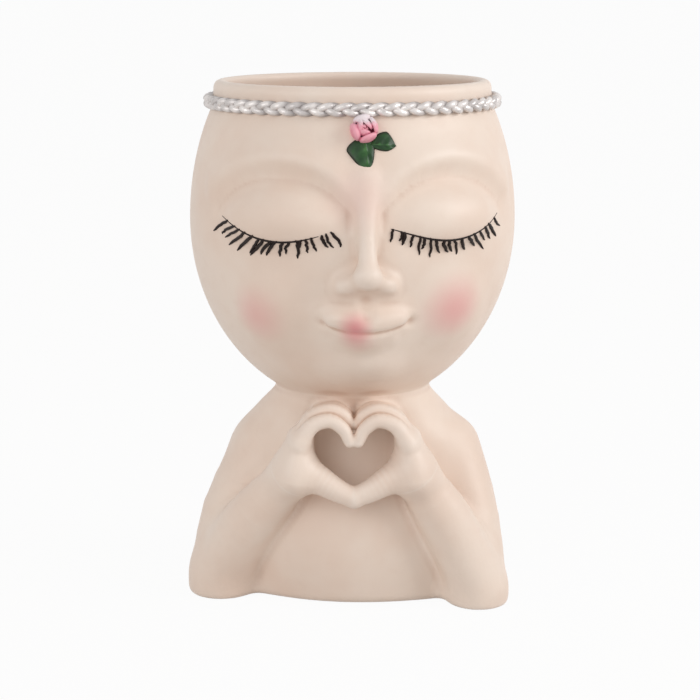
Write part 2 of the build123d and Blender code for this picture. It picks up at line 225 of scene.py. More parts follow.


# %% [markdown]
# ## From clay to a mesh
# A formula has no faces yet. The field is sampled on a grid, only near its surface to save time, and
# OpenVDB, which comes with Blender, lays quads along it. Then every point is pulled exactly onto the
# surface along the slope of the field, which takes away the steps of the grid. How hollow the surface is
# at each point is stored as an attribute, so that painted shade can darken the creases later.

# %% Mesh maker
block, block_middle, near_blocks = 4, 0.375, 1.3


def clay_grid(field, low, high, step):
    """A field's values on a grid: rough in blocks, and exact in the blocks near the surface."""
    coarse = block * step
    counts = np.ceil((high - low) / coarse).astype(int) + 1
    axes = [low[i] + coarse * (np.arange(counts[i]) + block_middle) for i in range(3)]
    centres = np.stack(np.meshgrid(*axes, indexing="ij"), -1).reshape(-1, 3)
    values = field(centres).reshape(counts)
    for axis in range(3):
        values = values.repeat(block, axis)
    near = np.argwhere(np.abs(values) < near_blocks * coarse)
    values[tuple(near.T)] = field(low + step * near)
    return values


def pulled(field, points, step, rounds=3):
    """Points moved onto the surface along the slope, by half a grid step at most each round."""
    for _ in range(rounds):
        g, value = slope(field, points)
        move = -g * (value / np.maximum((g * g).sum(-1), 0.2))[:, None]
        size = np.maximum(length(move), tiny)
        points = points + move * np.minimum(1, 0.5 * step / size)[:, None]
    return points


def hollows_of(field, points, reach=1.2):
    """How hollow a surface is at each point, from the field all around it."""
    around = -6 * field(points)
    for push in reach * np.eye(3):
        around += field(points + push) + field(points - push)
    return np.clip(-around / reach ** 2, -2, 2)


def note_hollows(mesh, hollows):
    """Smooth shading, and how hollow the surface is at each point."""
    mesh.polygons.foreach_set("use_smooth", [True] * len(mesh.polygons))
    noted = mesh.attributes.new("crease", "FLOAT", "POINT")
    noted.data.foreach_set("value", np.asarray(hollows, np.float32))


def stand(name, mesh):
    """Puts a mesh into the scene as an object."""
    piece = bpy.data.objects.new(name, mesh)
    bpy.context.scene.collection.objects.link(piece)
    print(name, len(mesh.polygons), "faces")
    return piece


def clay_piece(name, field, low, high, step):
    low, high = np.asarray(low, float), np.asarray(high, float)
    grid = openvdb.FloatGrid(background=block * step)
    grid.copyFromArray(clay_grid(field, low, high, step).astype(np.float32))
    points, triangles, quads = grid.convertToPolygons(isovalue=0.0, adaptivity=0.0)
    points = pulled(field, low + step * np.asarray(points, float), step)
    mesh = bpy.data.meshes.new(name)
    mesh.from_pydata((points * MM).tolist(), [], quads.tolist() + triangles.tolist())
    note_hollows(mesh, hollows_of(field, points))
    return stand(name, mesh)


# %% [markdown]
# ## The head
# The head starts as an egg made of two half ellipsoids that meet at the cheeks. Lids, brows, nose, lips,
# cheeks and chin are balls and rolls pressed onto it. They are placed in the skin's own terms: how far
# along the face, how far out from the bare skin, and how high. So they bend around the egg with it, and
# they stay on the face if the egg changes.

# %% Bare head
def egg_of(q, half_width, half_depth, crown, jaw):
    """Two half ellipsoids that meet at the cheeks."""
    rise = np.where(q[:, 2] > cheek_z, crown, jaw)
    radii = np.stack((np.full_like(rise, half_width), np.full_like(rise, half_depth), rise), -1)
    scaled = (q - (0, 0, cheek_z)) / radii
    return nearly_distance(length(scaled) + tiny, length(scaled / radii))


def egg(q):
    return egg_of(q, head_half_width, head_half_depth, crown_rise, jaw_drop)


def laid(q):
    """Points in the skin's own terms: along the face, out from the bare skin, and up."""
    rise = np.where(q[:, 2] > cheek_z, crown_rise, jaw_drop)
    half = head_half_width * np.sqrt(np.maximum(0.05, 1 - ((q[:, 2] - cheek_z) / rise) ** 2))
    turn = np.arctan2(q[:, 0] / head_half_width, -q[:, 1] / head_half_depth)
    return np.stack((half * turn, egg(q), q[:, 2]), -1)


def on_skin(x, z, lift=0.0):
    """A place on the face, seen from the front, in the skin's own terms."""
    half = skin_half(z)
    return (half * math.asin(x / half), lift, z)


print("egg is", 2 * skin_half(cheek_z), "mm wide at the cheeks")

# %% Face
brow_line = ((9.0, 169.5), (18.0, 177.0), (32.0, 179.8), (46.0, 176.0), (55.0, 168.5))
brow_lift, brow_radii = -4.7, (3.4, 4.8, 5.2, 4.8, 3.4)
socket_line = ((9.0, 160.0), (18.0, 169.4), (31.0, 172.8), (44.0, 169.6), (53.0, 162.5))
socket_lift, socket_radii = 4.2, (3.4, 4.6, 4.8, 4.4, 3.0)
low_lid = ((35.2, -7.6, 157.0), (31.6, 11.5, 12.0))
full_lid = ((33.6, -7.9, 159.6), (26.5, 12.4, 13.4))
nose_line = ((174.0, -2.4, 3.8), (162.0, 0.2, 3.1), (150.0, 3.0, 3.0), (139.6, 6.2, 3.6))
nose_tip, nose_base_z = ((0, 6.2, 138.0), (4.8, 4.6, 4.4)), 131.2
wing_x, wing_lift, wing_z, wing_radii = 6.8, 0.6, 134.4, (4.4, 4.6, 3.8)
cheek_x, cheek_ball_z, cheek_lift, cheek_radii = 36, 122, -15.0, (20, 16.6, 19)
chin, muzzle = ((0, -9.0, 101), (15, 12, 9.5)), ((0, -9.5, 118), (20, 12, 13))
lip_x, lip_lift, lip_z, lip_tilt, lip_radii = 5.0, 1.4, 119.6, 0.14, (9.6, 3.6, 3.6)
lower_lip = ((-7.6, 0.0, 114.2), (0.0, 1.4, 112.9), (7.6, 0.0, 114.2)), (2.6, 3.7, 2.6)


def eye_forms(f, out):
    """A brow, the hollow under it and the closed lid, on both sides."""
    mirrored = np.stack((np.abs(f[:, 0]), f[:, 1], f[:, 2]), -1)
    brow = [on_skin(x, z, brow_lift) for x, z in brow_line]
    out = soft_join(out, rolls(mirrored, brow, brow_radii, 3), 8)
    socket = [on_skin(x, z, socket_lift) for x, z in socket_line]
    out = soft_cut(out, rolls(mirrored, socket, socket_radii, 3), 6)
    lid = soft_join(ball(mirrored, *low_lid), ball(mirrored, *full_lid), 4)
    return soft_join(out, lid, 2.2)


def nose_form(f):
    ridge = [(0.0, lift, z) for z, lift, _ in nose_line]
    nose = rolls(f, ridge, [radius for *_, radius in nose_line])
    nose = soft_join(nose, ball(f, *nose_tip), 3.0)
    for side in (-1, 1):
        nose = soft_join(nose, ball(f, (wing_x * side, wing_lift, wing_z), wing_radii), 5.0)
    return soft_meet(nose, nose_base_z - f[:, 2], 2.0)


def face_forms(f):
    """The bare skin with its features, before the mouth is cut in."""
    out = eye_forms(f, f[:, 1])
    for side in (-1, 1):
        cheek = on_skin(cheek_x * side, cheek_ball_z, cheek_lift)
        out = soft_join(out, ball(f, cheek, cheek_radii), 9)
    out = soft_join(out, ball(f, *chin), 8)
    out = soft_join(out, ball(f, *muzzle), 8)
    out = soft_join(out, nose_form(f), 5.0)
    for side in (-1, 1):
        lip = f - (lip_x * side, lip_lift, lip_z)
        lip[:, 2] -= lip_tilt * side * lip[:, 0]
        out = soft_join(out, ball(lip, (0, 0, 0), lip_radii), 5.0)
    return soft_join(out, rolls(f, *lower_lip), 5.0)


def face(q):
    """The head's outside without the mouth line: the egg, and the features where they can reach."""
    out = egg(q)
    front = (q[:, 1] < -8) & (np.abs(out) < 26) & (q[:, 2] > 84) & (q[:, 2] < 196)
    if front.any():
        out[front] = face_forms(laid(q[front]))
    return out


# %% Mouth
mouth_line = ((-16.4, 119.6), (-9.0, 117.0), (0.0, 116.2), (9.0, 117.0), (17.4, 119.6))
mouth_lifts, mouth_radii = (0.5, 0.3, 0.2, 0.3, 0.5), (0.3, 0.5, 0.65, 0.5, 0.3)
corner_lift, corner_radii = 1.3, (1.3, 1.3, 1.3)
groove_lift, groove_zs, groove_radii = 1.35, (128.6, 122.6), (1.2, 1.7)


def on_surface(field, x, z, lift=0.0):
    """Where a line of sight at x, z meets the front of a field in the head's frame."""
    depth = np.linspace(-85, -9, 381)
    line = np.stack((0 * depth + x, depth, 0 * depth + z), -1)
    inside = np.argmax(field(line) < 0)
    point = line[inside:inside + 1]
    for _ in range(4):
        out, value = slope(field, point)
        point = point - np.array((0, 1, 0)) * (value / out[:, 1])[:, None]
    out = slope(field, point)[0][0]
    return point[0] + lift * out / np.linalg.norm(out)


mouth_points = [on_surface(face, x, z, lift) for (x, z), lift in zip(mouth_line, mouth_lifts)]
corner_points = [on_surface(face, *mouth_line[end], corner_lift) for end in (0, -1)]
groove_points = [on_surface(face, 0, z, groove_lift) for z in groove_zs]


def mouth_cut(q, out):
    """The mouth line, its corners and the groove above it."""
    out = soft_cut(out, rolls(q, mouth_points, mouth_radii), 1.8)
    for corner in corner_points:
        out = soft_cut(out, ball(q, corner, corner_radii), 3.4)
    return soft_cut(out, roll(q, *groove_points, *groove_radii), 3.4)


def whole_face(q):
    out = face(q)
    near = (np.abs(q[:, 0]) < 26) & (q[:, 1] < -20) & (np.abs(q[:, 2] - 120) < 18)
    if near.any():
        out[near] = mouth_cut(q[near], out[near])
    return out


print("mouth lies at", mouth_points[2].round(1))

# %% [markdown]
# ## The pot in the head
# Above the circlet the head ends in a plain collar with a rounded lip, and inside it is hollow down to a
# drain. The inside is one more egg, cut away softly so that the lip keeps a thumb's roundness.

# %% Pot
seat_half = skin_half(seat_z) - 1.34
rim_half = seat_half - 0.5
opening_half = rim_half - 5.0
collar_half, collar_foot_z = rim_half + 0.7, 192.0
wall = 7.0
inner_half = head_half_width - wall
inner_depth = head_half_depth - wall
inner_crown = (rim_z - cheek_z) / math.sqrt(1 - (opening_half / inner_half) ** 2)
drain_radius = 5.0


def oval(q, half_width, half_depth):
    """An upright oval pillar."""
    radii = np.array((half_width, half_depth))
    flat = q[:, :2] + tiny
    return nearly_distance(length(flat / radii), length(flat / radii ** 2))


def head_outside(q):
    collar = soft_meet(oval(q, collar_half, squash * collar_half), collar_foot_z - q[:, 2], 2.0)
    return soft_meet(soft_join(whole_face(q), collar, 1.6), q[:, 2] - rim_z, 3.6)


def pot_hollow(q):
    inside = egg_of(q, inner_half, inner_depth, inner_crown, jaw_drop - wall)
    inside = soft_meet(inside, floor_z - q[:, 2], 6.0)
    return soft_join(inside, length(q[:, :2]) - drain_radius, 1.0)


print("opening is", round(2 * opening_half, 1), "mm wide")

# %% [markdown]
# ## The bust and the arms
# The bust swells from the neck to the base like a bell. The chest and the upper arms are pressed onto it,
# and the forearms rise from the elbows to the wrists. All of them are soft rolls, given by their joints,
# which is how an armature for clay is bent.

# %% Bust and arms
swell_width = (0.97, 1.0, 0.99, 0.95, 0.87, 0.75, 0.60, 0.29, 0.0, 0.0)
swell_depth = (0.96, 1.0, 1.0, 0.93, 0.78, 0.58, 0.33, 0.03, 0.0, 0.0)
swell_back = (1.0, 1.0, 1.0, 0.96, 0.89, 0.78, 0.62, 0.35, 0.0, 0.0)
swell_levels, bell_slack = 8, 0.85
bust_width, bust_depth, bust_back = 119.0, 70.8, 11.0
neck_width, neck_depth, neck_overlap = 60.0, 54.6, 6
bust_turn = math.radians(-6.0)
chest = ((0.0, -5.0, 27.0), (42.0, 25.6, 34.0))
upper_arms = (
    (((-37.4, 1.5, 58.0), (-47.6, -1.0, 32.0), (-52.4, -5.0, -2.0)), (9.6, 13.4, 14.6)),
    (((40.6, 1.5, 60.0), (46.6, -8.0, 30.0), (49.2, -18.5, -2.0)), (9.6, 12.6, 13.1)),
)
forearms = {
    -1: (((-53.5, -8.0, 9.0), (-41.0, -20.5, 33.0), (-23.4, -32.0, 56.0)), (11.8, 11.0, 8.2)),
    1: (((50.6, -22.0, 7.0), (37.5, -26.5, 34.5), (24.4, -32.0, 56.0)), (10.8, 10.8, 8.2)),
}
upper_arm_room, forearm_room = 15, 12


def eased(z, shares):
    """Shares at even levels between the base and the neck, joined by a smooth curve."""
    shares = np.asarray(shares)
    slopes = np.gradient(shares)
    place = np.clip(z / neck_z * swell_levels, 0, len(shares) - 1.001)
    i = place.astype(int)
    t = place - i
    a, b, ga, gb = shares[i], shares[i + 1], slopes[i], slopes[i + 1]
    return a + t * (ga + t * (3 * (b - a) - 2 * ga - gb + t * (2 * (a - b) + ga + gb)))


def bell(t):
    wide = (neck_width + eased(t[:, 2], swell_width) * (bust_width - neck_width)) / 2
    deep = (neck_depth + eased(t[:, 2], swell_depth) * (bust_depth - neck_depth)) / 2
    back = bust_back * eased(t[:, 2], swell_back)
    flat = np.stack(turned(t[:, 0], t[:, 1] - back, bust_turn), -1)
    radii = np.stack((wide, deep), -1)
    return bell_slack * nearly_distance(length(flat / radii) + tiny, length(flat / radii ** 2))


def torso(t):
    out = soft_join(bell(t), ball(t, *chest), 7)
    for points, radii in upper_arms:
        low, high = np.min(points, 0) - upper_arm_room, np.max(points, 0) + upper_arm_room
        out = soft_join(out, within(t, low, high, lambda s: rolls(s, points, radii, 3)), 6)
    out = soft_meet(out, t[:, 2] - neck_z - neck_overlap, 2.0)
    return soft_meet(out, -t[:, 2], 4.0)


def forearm(t, side):
    points, radii = forearms[side]
    low, high = np.min(points, 0) - forearm_room, np.max(points, 0) + forearm_room
    return within(t, low, high, lambda s: soft_meet(rolls(s, points, radii), -s[:, 2], 3.0))


print("elbows at", forearms[-1][0][0], forearms[1][0][0])

# %% [markdown]
# ## The hands
# Each hand is a palm on edge, four curled fingers one behind the other, and a thumb that reaches down to
# meet the other thumb, so that the two hands form a heart. The rolls are blended less here, so that the
# creases between fingers stay.

# %% Hands
heart_x, heart_y = 0.6, -40.0
palm_flatness = 0.62
thumb_radii = (7.8, 5.7, 4.5, 3.9)
finger_pitch, finger_radii = 4.5, (3.6, 3.0, 2.8, 2.6, 2.3)
finger_rises, finger_drops = (0.0, 3.0, 2.4, 0.8), (0.0, 5.6, 5.8, 4.8)


def hand_form(t, side):
    def put(out, y, z):
        return (heart_x + side * out, y, z)

    flat = t * (1, palm_flatness, 1)
    wrist, knuckles = put(23.8, palm_flatness * -32, 56), put(20.8, palm_flatness * -34, 70.4)
    palm = roll(flat, wrist, knuckles, 8.0, 5.4)
    thumb = (put(22.4, -35.0, 58.6), put(13.6, -37.6, 55.0), put(6.2, -39.0, 51.0), put(0.0, -39.6, 48.4))
    out = soft_join(palm, rolls(t, thumb, thumb_radii), 5.0)
    for place, (rise, drop) in enumerate(zip(finger_rises, finger_drops)):
        y = heart_y + place * finger_pitch
        points = (
            put(21.0, y, 69.6 + 0.3 * rise),
            put(16.2, y, 76.8 + 0.8 * rise),
            put(9.4, y, 79.0 + rise),
            put(4.2, y, 75.8 + 0.5 * (rise + drop)),
            put(1.6, y, 70.8 + drop),
        )
        out = soft_join(out, rolls(t, points, finger_radii), 1.6)
    return out


def hand(t, side):
    inner, outer = (4, -33) if side < 0 else (-4, 33)
    low = (heart_x + min(inner, outer), -46, 40)
    high = (heart_x + max(inner, outer), -16, 88)
    return within(t, low, high, lambda s: hand_form(s, side))


print("hands meet at x =", heart_x)

# %% [markdown]
# ## One figure, several castings
# The castings are bonded and painted over, so no seam shows. To get that, every piece follows the same
# field of the whole figure. Outside its own region a piece dives under its neighbour and stops a few
# millimetres further, so each stays a closed mesh of its own.

# %% Castings
parts_blend = {"neck": 3.0, "arm": 5.0, "base": 1.0, "hands": 1.2, "wrist": 5.0}
head_room, bust_room = ((-66, -76, 76), (66, 62, 208)), ((-70, -50, -1), (68, 60, 94))
dive_slope, dive_curve, dive_reach = 0.25, 0.1, 4.0
plug_seat_radius, plug_seat_height = 9.8, 3.2


def figure(p):
    """The whole figure's outside, and the distance to each casting by itself."""
    t, q = p - pot_axis, to_head(p)
    own = {"head": within(q, *head_room, head_outside), "bust": within(t, *bust_room, torso)}
    out = soft_join(own["head"], own["bust"], parts_blend["neck"])
    for side, word in ((-1, "right"), (1, "left")):
        own[word + "_forearm"] = forearm(t, side)
        out = soft_join(out, own[word + "_forearm"], parts_blend["arm"])
    out = soft_meet(out, -t[:, 2], parts_blend["base"])
    own["right_hand"], own["left_hand"] = hand(t, -1), hand(t, 1)
    both = soft_join(own["right_hand"], own["left_hand"], parts_blend["hands"])
    return soft_join(out, both, parts_blend["wrist"]), own


def wrist_cut(t, side):
    """Above zero on the hand's side of the wrist."""
    points = forearms[side][0]
    axis = np.subtract(points[2], points[1])
    return (t - np.asarray(points[2])) @ (axis / np.linalg.norm(axis))


def outside_region(word, p, t, own):
    """Above zero where a casting's own region ends."""
    if word == "head":
        return neck_z - p[:, 2]
    if word == "bust":
        limbs = [0.5 * (own["bust"] - own[limb]) for limb in own if limb not in ("bust", "head")]
        return np.maximum(p[:, 2] - neck_z, np.maximum.reduce(limbs))
    side = -1 if word.startswith("right") else 1
    cut = wrist_cut(t, side)
    limb = 0.5 * (own[word] - own["bust"])
    if word.endswith("forearm"):
        return np.maximum(limb, cut)
    return np.maximum(np.maximum(limb, -cut), -side * (t[:, 0] - heart_x))


def casting(word):
    def field(p):
        out, own = figure(p)
        t = p - pot_axis
        outside = outside_region(word, p, t, own)
        beyond = np.maximum(outside, 0)
        out = np.maximum(out + dive_slope * beyond + dive_curve * beyond ** 2, outside - dive_reach)
        if word == "head":
            out = soft_cut(out, pot_hollow(to_head(p)), 3.2)
        if word == "bust":
            from_axis = length(t[:, :2])
            out = soft_cut(out, from_axis - drain_radius, 0.8)
            plug_seat = np.maximum(from_axis - plug_seat_radius, p[:, 2] - plug_seat_height)
            out = soft_cut(out, plug_seat, 0.5)
        return out

    return field


# %% Casting meshes
casting_grids = {
    "head": ((-68, -76, 79), (71, 68, 209), 1.15),
    "bust": ((-72, -50, -3), (70, 60, 93), 1.25),
    "right_forearm": ((-70, -50, -3), (-6, 12, 72), 0.9),
    "left_forearm": ((6, -50, -3), (70, 12, 72), 0.9),
    "right_hand": ((-38, -52, 40), (7, -8, 92), 0.55),
    "left_hand": ((-4, -52, 40), (41, -8, 92), 0.55),
}
castings = {
    word: clay_piece(word + "_clay", casting(word), low, high, step)
    for word, (low, high, step) in casting_grids.items()
}

# %% [markdown]
# ## Short lines for nodes
# Materials and Geometry Nodes are both trees of nodes. This helper adds a node, sets its values and links
# its inputs in one line, so that the recipes below stay readable.

# %% Node helper
class Recipe:
    def __init__(self, tree):
        self.tree = tree

    def put(self, socket, value):
        if isinstance(value, bpy.types.NodeSocket):
            self.tree.links.new(value, socket)
        else:
            socket.default_value = value

    def add(self, kind, values=(), **settings):
        node = self.tree.nodes.new(kind)
        for key, value in settings.items():
            setattr(node, key, value)
        for key, value in dict(values).items():
            self.put(node.inputs[key], value)
        return node

    def sum(self, operation, *values):
        node = self.add("ShaderNodeMath", operation=operation)
        for socket, value in zip(node.inputs, values):
            self.put(socket, value)
        return node.outputs[0]

    def mix(self, factor, a, b):
        return self.add("ShaderNodeMix", {0: factor, 6: a, 7: b}, data_type="RGBA").outputs[2]

    def over(self, tone, mask, share, paint):
        """A tone with some of another paint over it, where a mask says so."""
        return self.mix(self.sum("MULTIPLY", mask, share), tone, paint)

    def band(self, value, low, high):
        """0 below low, 1 above high, smooth between."""
        values = {"Value": value, "From Min": low, "From Max": high}
        return self.add("ShaderNodeMapRange", values, interpolation_type="SMOOTHSTEP").outputs["Result"]


def colour(red, green, blue):
    """A colour as it is read off a screen, in the linear form that Blender mixes."""
    line = [c / 255 for c in (red, green, blue)]
    return (*[c / 12.92 if c < 0.04045 else ((c + 0.055) / 1.055) ** 2.4 for c in line], 1.0)


def new_group(name, kind, inputs, outputs):
    """An empty node group with named inputs and outputs."""
    group = bpy.data.node_groups.new(name, kind)
    for label, sort, default in inputs:
        socket = group.interface.new_socket(label, in_out="INPUT", socket_type="NodeSocket" + sort)
        if default is not None:
            socket.default_value = default
    for label, sort in outputs:
        group.interface.new_socket(label, in_out="OUTPUT", socket_type="NodeSocket" + sort)
    recipe = Recipe(group)
    return group, recipe, recipe.add("NodeGroupInput").outputs, recipe.add("NodeGroupOutput").inputs


print("white is", colour(255, 255, 255))

# %% [markdown]
# ## Effects that several finishes share
# Hand-painted resin is never one flat colour. Thin paint leaves soft clouds, and a brush leaves soft
# round patches. Painted shade darkens the creases and painted highlight lightens the raised edges. Each
# is a node group, built once. They read Object coordinates in metres, so the clouds keep their size on
# every piece.

# %% Cloud, crease and patch groups
def clouds_group():
    group, r, given, out = new_group(
        "Paint clouds",
        "ShaderNodeTree",
        (("Cloud size", "Float", 0.03), ("Grain size", "Float", 0.0012)),
        (("Cloud", "Float"), ("Speckle", "Float"), ("Grain", "Float")),
    )
    place = r.add("ShaderNodeTexCoord").outputs["Object"]
    for label, size, detail, rough in (
        ("Cloud", given["Cloud size"], 3.0, 0.55),
        ("Speckle", r.sum("MULTIPLY", given["Cloud size"], 0.17), 4.0, 0.65),
        ("Grain", given["Grain size"], 2.0, 0.5),
    ):
        values = {"Detail": detail, "Roughness": rough, "Vector": place, "Scale": r.sum("DIVIDE", 1.0, size)}
        r.put(out[label], r.add("ShaderNodeTexNoise", values).outputs["Fac"])
    return group


def crease_group():
    group, r, given, out = new_group(
        "Crease masks",
        "ShaderNodeTree",
        (("Start", "Float", 0.05), ("Full", "Float", 0.6)),
        (("Hollow", "Float"), ("Edge", "Float")),
    )
    # Masks of hollows and raised edges, mostly for painted shade and painted highlight.
    hollow = r.add("ShaderNodeAttribute", attribute_name="crease").outputs["Fac"]
    r.put(out["Hollow"], r.band(hollow, given["Start"], given["Full"]))
    r.put(out["Edge"], r.band(r.sum("MULTIPLY", hollow, -1.0), given["Start"], given["Full"]))
    return group


def patch_group():
    group, r, given, out = new_group(
        "Soft patch",
        "ShaderNodeTree",
        (("Centre", "Vector", (0, 0, 0)), ("Radius", "Float", 0.01)),
        (("Mask", "Float"),),
    )
    ends = {0: r.add("ShaderNodeTexCoord").outputs["Object"], 1: given["Centre"]}
    gap = r.add("ShaderNodeVectorMath", ends, operation="DISTANCE").outputs["Value"]
    near = r.sum("SUBTRACT", 1.0, r.sum("DIVIDE", gap, given["Radius"]))
    r.put(out["Mask"], r.band(near, 0.0, 1.0))
    return group


clouds, crease, patch = clouds_group(), crease_group(), patch_group()
print("groups:", [g.name for g in bpy.data.node_groups])


# %% Paint helpers
def new_material(name, **plain):
    """A material with one Principled shader and its plain values."""
    material = bpy.data.materials.new(name)
    material.use_nodes = True
    shader = material.node_tree.nodes["Principled BSDF"]
    for label, value in plain.items():
        shader.inputs[label.replace("_", " ")].default_value = value
    return material, Recipe(material.node_tree), shader


def painted(name, gloss, sizes, rough, grain=None):
    """A paint by its gloss, its cloud and grain sizes, its roughness (spread, least) and grain bump."""
    material, r, shader = new_material(name, Specular_IOR_Level=gloss)
    values = dict(zip(("Cloud size", "Grain size"), sizes))
    cloud = r.add("ShaderNodeGroup", values, node_tree=clouds).outputs
    r.put(shader.inputs["Roughness"], r.sum("MULTIPLY_ADD", cloud["Speckle"], *rough))
    if grain:
        values = {"Strength": grain[0], "Distance": grain[1], "Height": cloud["Grain"]}
        r.put(shader.inputs["Normal"], r.add("ShaderNodeBump", values).outputs["Normal"])
    return material, r, shader, cloud


def hollow_and_edge_masks(r, start, full):
    """Masks of hollows and raised edges, mostly for painted shade and painted highlight."""
    return r.add("ShaderNodeGroup", {"Start": start, "Full": full}, node_tree=crease).outputs


# %% [markdown]
# ## Cream resin
# The castings are sprayed with a warm cream, and the face gets blush on the cheeks and tinted lips.
# A darker flesh tone in the hollows is painted shade, and a paler cream on the raised edges is painted
# highlight. It has a satin surface with a very fine grain. The blush is a soft patch around a point on
# the skin, so it needs no painted picture.

# %% Resin
def cream_resin(name, patches=()):
    material, r, shader, cloud = painted(name, 0.4, (0.034,), (0.18, 0.36), (0.06, 0.0004))
    crease_masks = hollow_and_edge_masks(r, 0.05, 0.6)
    tone = r.mix(r.band(cloud["Cloud"], 0.3, 0.7), colour(229, 207, 191), colour(234, 217, 203))
    tone = r.over(tone, r.band(cloud["Speckle"], 0.5, 0.75), 0.14, colour(222, 198, 182))
    # Painted shade: a darker flesh tone in the hollows.
    tone = r.over(tone, crease_masks["Hollow"], 0.6, colour(186, 148, 124))
    # Painted highlight: a paler cream on the raised edges.
    tone = r.over(tone, crease_masks["Edge"], 0.3, colour(242, 232, 223))
    for centre, radius, strength, tint in patches:
        spot = r.add("ShaderNodeGroup", {"Centre": centre, "Radius": radius}, node_tree=patch)
        tone = r.over(tone, spot.outputs["Mask"], strength, tint)
    r.put(shader.inputs["Base Color"], tone)
    return material


def on_head(x, z, lift=0.0):
    """A point on the finished face, in the planter's frame, in mm."""
    return from_head(on_surface(whole_face, x, z, lift))[0]


blush, lip_tint = colour(226, 146, 148), colour(218, 138, 140)
face_patches = (
    (on_head(-40.0, 121.2) * MM, 0.0155, 0.4, blush),
    (on_head(34.4, 123.4) * MM, 0.0175, 0.6, blush),
    (on_head(-4.2, 118.6) * MM, 0.0085, 0.85, lip_tint),
    (on_head(-3.4, 113.6) * MM, 0.0095, 0.4, lip_tint),
    (on_head(-3.0, 167.0) * MM, 0.017, 0.17, blush),
)
head_resin = cream_resin("cream_resin_face", face_patches)
body_resin = cream_resin("cream_resin")
for word, piece in castings.items():
    piece.data.materials.append(head_resin if word == "head" else body_resin)
print("resin on", len(castings), "castings")

# %% [markdown]
# ## The circlet
# The band under the rim is a plait of three strands, picked out in silver. Each strand swings up and down
# along the band and in and out at twice that pace, which is what makes it pass over and under. A rule
# like that is a job for Geometry Nodes: a circle is copied three times, each copy is shifted by a third
# of a turn, moved by the rule, and swept with a round profile.

# %% Plait tree
def finish_tree(r, geometry, material, out):
    """Smooth shading, real geometry and a material at the end of a tree."""
    smooth = r.add("GeometryNodeSetShadeSmooth", {"Geometry": geometry}).outputs[0]
    real = r.add("GeometryNodeRealizeInstances", {"Geometry": smooth}).outputs[0]
    r.put(out[0], r.add("GeometryNodeSetMaterial", {"Geometry": real, "Material": material}).outputs[0])


def plait_tree():
    tree, r, given, out = new_group(
        "Plait",
        "GeometryNodeTree",
        (
            ("Half width", "Float", 0.0562), ("Half depth", "Float", 0.0519), ("Height", "Float", 0.1984),
            ("Turns", "Int", 19), ("Points per turn", "Int", 30), ("Swing", "Float", 0.0014),
            ("Weave", "Float", 0.001), ("Strand radius", "Float", 0.0013), ("Material", "Material", None),
        ),
        (("Geometry", "Geometry"),),
    )
    points = r.sum("MULTIPLY", given["Turns"], given["Points per turn"])
    ring = r.add("GeometryNodeCurvePrimitiveCircle", {"Resolution": points, "Radius": 1.0}).outputs["Curve"]
    copies = r.add("GeometryNodeDuplicateElements", {"Geometry": ring, "Amount": 3}, domain="SPLINE").outputs
    along = r.add("GeometryNodeSplineParameter").outputs["Factor"]
    third = r.sum("DIVIDE", copies["Duplicate Index"], 3.0)
    phase = r.sum("MULTIPLY", r.sum("ADD", r.sum("MULTIPLY", along, given["Turns"]), third), 2 * math.pi)
    swing = r.sum("MULTIPLY", r.sum("SINE", phase), given["Swing"])
    over_under = r.sum("SINE", r.sum("MULTIPLY", phase, 2.0))
    weave = r.sum("MULTIPLY", over_under, given["Weave"])
    unit = r.add("ShaderNodeSeparateXYZ", {0: r.add("GeometryNodeInputPosition").outputs[0]}).outputs
    outward = r.add("ShaderNodeCombineXYZ", {
        "X": r.sum("MULTIPLY", unit["X"], given["Half depth"]),
        "Y": r.sum("MULTIPLY", unit["Y"], given["Half width"]),
    }).outputs[0]
    outward = r.add("ShaderNodeVectorMath", {0: outward}, operation="NORMALIZE").outputs[0]
    push = r.add("ShaderNodeVectorMath", {0: outward, "Scale": weave}, operation="SCALE").outputs[0]
    spot = r.add("ShaderNodeCombineXYZ", {
        "X": r.sum("MULTIPLY", unit["X"], given["Half width"]),
        "Y": r.sum("MULTIPLY", unit["Y"], given["Half depth"]),
        "Z": r.sum("ADD", given["Height"], swing),
    }).outputs[0]
    spot = r.add("ShaderNodeVectorMath", {0: spot, 1: push}, operation="ADD").outputs[0]
    # How far a strand lies under the others; it becomes the crease attribute for painted shade in the gaps.
    under = r.sum("MULTIPLY", over_under, -1.0)
    noted = r.add(
        "GeometryNodeStoreNamedAttribute",
        {"Geometry": copies[0], "Name": "crease", "Value": under},
        data_type="FLOAT",
        domain="POINT",
    ).outputs[0]
    moved = r.add("GeometryNodeSetPosition", {"Geometry": noted, "Position": spot}).outputs[0]
    profile = r.add("GeometryNodeCurvePrimitiveCircle", {"Resolution": 12, "Radius": given["Strand radius"]})
    swept = r.add("GeometryNodeCurveToMesh", {"Curve": moved, "Profile Curve": profile.outputs["Curve"]})
    finish_tree(r, swept.outputs[0], given["Material"], out)
    return tree


plait = plait_tree()
print("plait has", len(plait.nodes), "nodes")


# %% Running a tree
def run_tree(name, tree, values, source=None):
    """Runs a tree on an object once and keeps the result as a plain mesh where the tree put it."""
    holder = source or bpy.data.objects.new(name + "_holder", bpy.data.meshes.new(name + "_holder"))
    bpy.context.scene.collection.objects.link(holder)
    modifier = holder.modifiers.new("made", "NODES")
    modifier.node_group = tree
    for item in tree.interface.items_tree:
        if item.item_type == "SOCKET" and item.in_out == "INPUT" and item.name in values:
            modifier[item.identifier] = values[item.name]
    holder.update_tag()
    depsgraph = bpy.context.evaluated_depsgraph_get()
    mesh = bpy.data.meshes.new_from_object(holder.evaluated_get(depsgraph), depsgraph=depsgraph)
    holder.modifiers.remove(modifier)
    bpy.data.objects.remove(holder)
    mesh.name = name
    return stand(name, mesh)


def move_to_planter(mesh):
    """Takes a mesh from the head's frame, in metres, to the planter's."""
    points = np.empty(3 * len(mesh.vertices), np.float32)
    mesh.vertices.foreach_get("co", points)
    points = from_head(points.reshape(-1, 3) / MM) * MM
    mesh.vertices.foreach_set("co", points.astype(np.float32).ravel())
    mesh.update()
